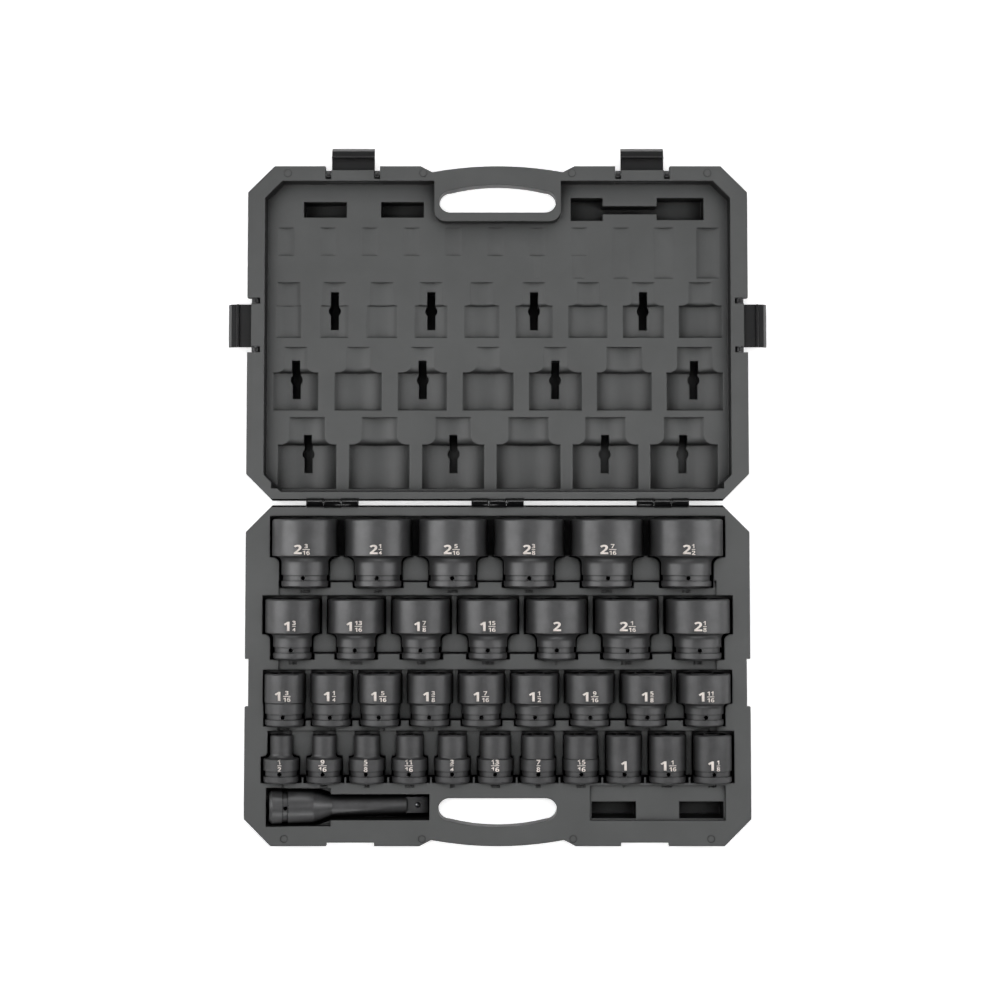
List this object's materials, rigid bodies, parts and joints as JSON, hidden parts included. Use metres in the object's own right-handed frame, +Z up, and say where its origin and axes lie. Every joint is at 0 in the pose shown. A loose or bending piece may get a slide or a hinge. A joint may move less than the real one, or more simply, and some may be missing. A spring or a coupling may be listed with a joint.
{
  "type": "socket wrench set in case",
  "caption": "Open blow-moulded carrying case with impact sockets and an extension bar in fitted beds, a hinged lid with side and front latches and a grip handle.",
  "frame": {"origin": "centre of the tray's underside on the floor", "axes": "+Z up, +Y from the tray across the hinge to the open lid, +X to the right seen from the tray's front"},
  "size_m": [0.6526, 0.8397, 0.102],
  "materials": {
    "case_plastic": "fine moulded grain",
    "latch_plastic": "smooth satin",
    "phosphate_steel": "satin black phosphate",
    "pin_steel": "bright drawn steel"
  },
  "bodies": {
    "tray": {"tray": "case_plastic", "hinge_pins": "pin_steel"},
    "lid": {"lid": "case_plastic", "latch_pins": "pin_steel"},
    "latch_front_left": {"latch_front_left": "latch_plastic"},
    "latch_front_right": {"latch_front_right": "latch_plastic"},
    "latch_left": {"latch_left": "latch_plastic"},
    "latch_right": {"latch_right": "latch_plastic"},
    "socket_2_3_16_in": {"socket_2_3_16_in": "phosphate_steel"},
    "socket_2_1_4_in": {"socket_2_1_4_in": "phosphate_steel"},
    "socket_2_5_16_in": {"socket_2_5_16_in": "phosphate_steel"},
    "socket_2_3_8_in": {"socket_2_3_8_in": "phosphate_steel"},
    "socket_2_7_16_in": {"socket_2_7_16_in": "phosphate_steel"},
    "socket_2_1_2_in": {"socket_2_1_2_in": "phosphate_steel"},
    "socket_1_3_4_in": {"socket_1_3_4_in": "phosphate_steel"},
    "socket_1_13_16_in": {"socket_1_13_16_in": "phosphate_steel"},
    "socket_1_7_8_in": {"socket_1_7_8_in": "phosphate_steel"},
    "socket_1_15_16_in": {"socket_1_15_16_in": "phosphate_steel"},
    "socket_2_in": {"socket_2_in": "phosphate_steel"},
    "socket_2_1_16_in": {"socket_2_1_16_in": "phosphate_steel"},
    "socket_2_1_8_in": {"socket_2_1_8_in": "phosphate_steel"},
    "socket_1_3_16_in": {"socket_1_3_16_in": "phosphate_steel"},
    "socket_1_1_4_in": {"socket_1_1_4_in": "phosphate_steel"},
    "socket_1_5_16_in": {"socket_1_5_16_in": "phosphate_steel"},
    "socket_1_3_8_in": {"socket_1_3_8_in": "phosphate_steel"},
    "socket_1_7_16_in": {"socket_1_7_16_in": "phosphate_steel"},
    "socket_1_1_2_in": {"socket_1_1_2_in": "phosphate_steel"},
    "socket_1_9_16_in": {"socket_1_9_16_in": "phosphate_steel"},
    "socket_1_5_8_in": {"socket_1_5_8_in": "phosphate_steel"},
    "socket_1_11_16_in": {"socket_1_11_16_in": "phosphate_steel"},
    "socket_1_2_in": {"socket_1_2_in": "phosphate_steel"},
    "socket_9_16_in": {"socket_9_16_in": "phosphate_steel"},
    "socket_5_8_in": {"socket_5_8_in": "phosphate_steel"},
    "socket_11_16_in": {"socket_11_16_in": "phosphate_steel"},
    "socket_3_4_in": {"socket_3_4_in": "phosphate_steel"},
    "socket_13_16_in": {"socket_13_16_in": "phosphate_steel"},
    "socket_7_8_in": {"socket_7_8_in": "phosphate_steel"},
    "socket_15_16_in": {"socket_15_16_in": "phosphate_steel"},
    "socket_1_in": {"socket_1_in": "phosphate_steel"},
    "socket_1_1_16_in": {"socket_1_1_16_in": "phosphate_steel"},
    "socket_1_1_8_in": {"socket_1_1_8_in": "phosphate_steel"},
    "extension_bar": {"extension_bar": "phosphate_steel", "detent_spring": "pin_steel"},
    "detent_ball": {"detent_ball": "pin_steel"}
  },
  "joints": [
    {"name": "lid_hinge", "type": "hinge", "parent": "tray", "child": "lid", "pos_m": [0, 0.2052, 0.0583], "axis": [-1, 0, 0], "range_deg": [-180, 0]},
    {"name": "latch_front_left_swing", "type": "hinge", "parent": "lid", "child": "latch_front_left", "pos_m": [-0.1755, 0.6032, 0.053], "axis": [-1, 0, 0], "range_deg": [-90, 0]},
    {"name": "latch_front_right_swing", "type": "hinge", "parent": "lid", "child": "latch_front_right", "pos_m": [0.1755, 0.6032, 0.053], "axis": [-1, 0, 0], "range_deg": [-90, 0]},
    {"name": "latch_left_swing", "type": "hinge", "parent": "lid", "child": "latch_left", "pos_m": [-0.2923, 0.4198, 0.053], "axis": [0, -1, 0], "range_deg": [-90, 0]},
    {"name": "latch_right_swing", "type": "hinge", "parent": "lid", "child": "latch_right", "pos_m": [0.2923, 0.4198, 0.053], "axis": [0, 1, 0], "range_deg": [-90, 0]},
    {"name": "socket_2_3_16_in_lift", "type": "slide", "parent": "tray", "child": "socket_2_3_16_in", "axis": [0, 0, 1], "range_m": [0, 0.1]},
    {"name": "socket_2_1_4_in_lift", "type": "slide", "parent": "tray", "child": "socket_2_1_4_in", "axis": [0, 0, 1], "range_m": [0, 0.1]},
    {"name": "socket_2_5_16_in_lift", "type": "slide", "parent": "tray", "child": "socket_2_5_16_in", "axis": [0, 0, 1], "range_m": [0, 0.1]},
    {"name": "socket_2_3_8_in_lift", "type": "slide", "parent": "tray", "child": "socket_2_3_8_in", "axis": [0, 0, 1], "range_m": [0, 0.1]},
    {"name": "socket_2_7_16_in_lift", "type": "slide", "parent": "tray", "child": "socket_2_7_16_in", "axis": [0, 0, 1], "range_m": [0, 0.1]},
    {"name": "socket_2_1_2_in_lift", "type": "slide", "parent": "tray", "child": "socket_2_1_2_in", "axis": [0, 0, 1], "range_m": [0, 0.1]},
    {"name": "socket_1_3_4_in_lift", "type": "slide", "parent": "tray", "child": "socket_1_3_4_in", "axis": [0, 0, 1], "range_m": [0, 0.1]},
    {"name": "socket_1_13_16_in_lift", "type": "slide", "parent": "tray", "child": "socket_1_13_16_in", "axis": [0, 0, 1], "range_m": [0, 0.1]},
    {"name": "socket_1_7_8_in_lift", "type": "slide", "parent": "tray", "child": "socket_1_7_8_in", "axis": [0, 0, 1], "range_m": [0, 0.1]},
    {"name": "socket_1_15_16_in_lift", "type": "slide", "parent": "tray", "child": "socket_1_15_16_in", "axis": [0, 0, 1], "range_m": [0, 0.1]},
    {"name": "socket_2_in_lift", "type": "slide", "parent": "tray", "child": "socket_2_in", "axis": [0, 0, 1], "range_m": [0, 0.1]},
    {"name": "socket_2_1_16_in_lift", "type": "slide", "parent": "tray", "child": "socket_2_1_16_in", "axis": [0, 0, 1], "range_m": [0, 0.1]},
    {"name": "socket_2_1_8_in_lift", "type": "slide", "parent": "tray", "child": "socket_2_1_8_in", "axis": [0, 0, 1], "range_m": [0, 0.1]},
    {"name": "socket_1_3_16_in_lift", "type": "slide", "parent": "tray", "child": "socket_1_3_16_in", "axis": [0, 0, 1], "range_m": [0, 0.1]},
    {"name": "socket_1_1_4_in_lift", "type": "slide", "parent": "tray", "child": "socket_1_1_4_in", "axis": [0, 0, 1], "range_m": [0, 0.1]},
    {"name": "socket_1_5_16_in_lift", "type": "slide", "parent": "tray", "child": "socket_1_5_16_in", "axis": [0, 0, 1], "range_m": [0, 0.1]},
    {"name": "socket_1_3_8_in_lift", "type": "slide", "parent": "tray", "child": "socket_1_3_8_in", "axis": [0, 0, 1], "range_m": [0, 0.1]},
    {"name": "socket_1_7_16_in_lift", "type": "slide", "parent": "tray", "child": "socket_1_7_16_in", "axis": [0, 0, 1], "range_m": [0, 0.1]},
    {"name": "socket_1_1_2_in_lift", "type": "slide", "parent": "tray", "child": "socket_1_1_2_in", "axis": [0, 0, 1], "range_m": [0, 0.1]},
    {"name": "socket_1_9_16_in_lift", "type": "slide", "parent": "tray", "child": "socket_1_9_16_in", "axis": [0, 0, 1], "range_m": [0, 0.1]},
    {"name": "socket_1_5_8_in_lift", "type": "slide", "parent": "tray", "child": "socket_1_5_8_in", "axis": [0, 0, 1], "range_m": [0, 0.1]},
    {"name": "socket_1_11_16_in_lift", "type": "slide", "parent": "tray", "child": "socket_1_11_16_in", "axis": [0, 0, 1], "range_m": [0, 0.1]},
    {"name": "socket_1_2_in_lift", "type": "slide", "parent": "tray", "child": "socket_1_2_in", "axis": [0, 0, 1], "range_m": [0, 0.1]},
    {"name": "socket_9_16_in_lift", "type": "slide", "parent": "tray", "child": "socket_9_16_in", "axis": [0, 0, 1], "range_m": [0, 0.1]},
    {"name": "socket_5_8_in_lift", "type": "slide", "parent": "tray", "child": "socket_5_8_in", "axis": [0, 0, 1], "range_m": [0, 0.1]},
    {"name": "socket_11_16_in_lift", "type": "slide", "parent": "tray", "child": "socket_11_16_in", "axis": [0, 0, 1], "range_m": [0, 0.1]},
    {"name": "socket_3_4_in_lift", "type": "slide", "parent": "tray", "child": "socket_3_4_in", "axis": [0, 0, 1], "range_m": [0, 0.1]},
    {"name": "socket_13_16_in_lift", "type": "slide", "parent": "tray", "child": "socket_13_16_in", "axis": [0, 0, 1], "range_m": [0, 0.1]},
    {"name": "socket_7_8_in_lift", "type": "slide", "parent": "tray", "child": "socket_7_8_in", "axis": [0, 0, 1], "range_m": [0, 0.1]},
    {"name": "socket_15_16_in_lift", "type": "slide", "parent": "tray", "child": "socket_15_16_in", "axis": [0, 0, 1], "range_m": [0, 0.1]},
    {"name": "socket_1_in_lift", "type": "slide", "parent": "tray", "child": "socket_1_in", "axis": [0, 0, 1], "range_m": [0, 0.1]},
    {"name": "socket_1_1_16_in_lift", "type": "slide", "parent": "tray", "child": "socket_1_1_16_in", "axis": [0, 0, 1], "range_m": [0, 0.1]},
    {"name": "socket_1_1_8_in_lift", "type": "slide", "parent": "tray", "child": "socket_1_1_8_in", "axis": [0, 0, 1], "range_m": [0, 0.1]},
    {"name": "extension_bar_lift", "type": "slide", "parent": "tray", "child": "extension_bar", "axis": [0, 0, 1], "range_m": [0, 0.1]},
    {"name": "detent_press", "type": "slide", "parent": "extension_bar", "child": "detent_ball", "axis": [0.1564, 0, 0.9877], "range_m": [-0.0012, 0], "stiffness_N_per_m": 1500, "deforming": ["detent_spring"]}
  ]
}
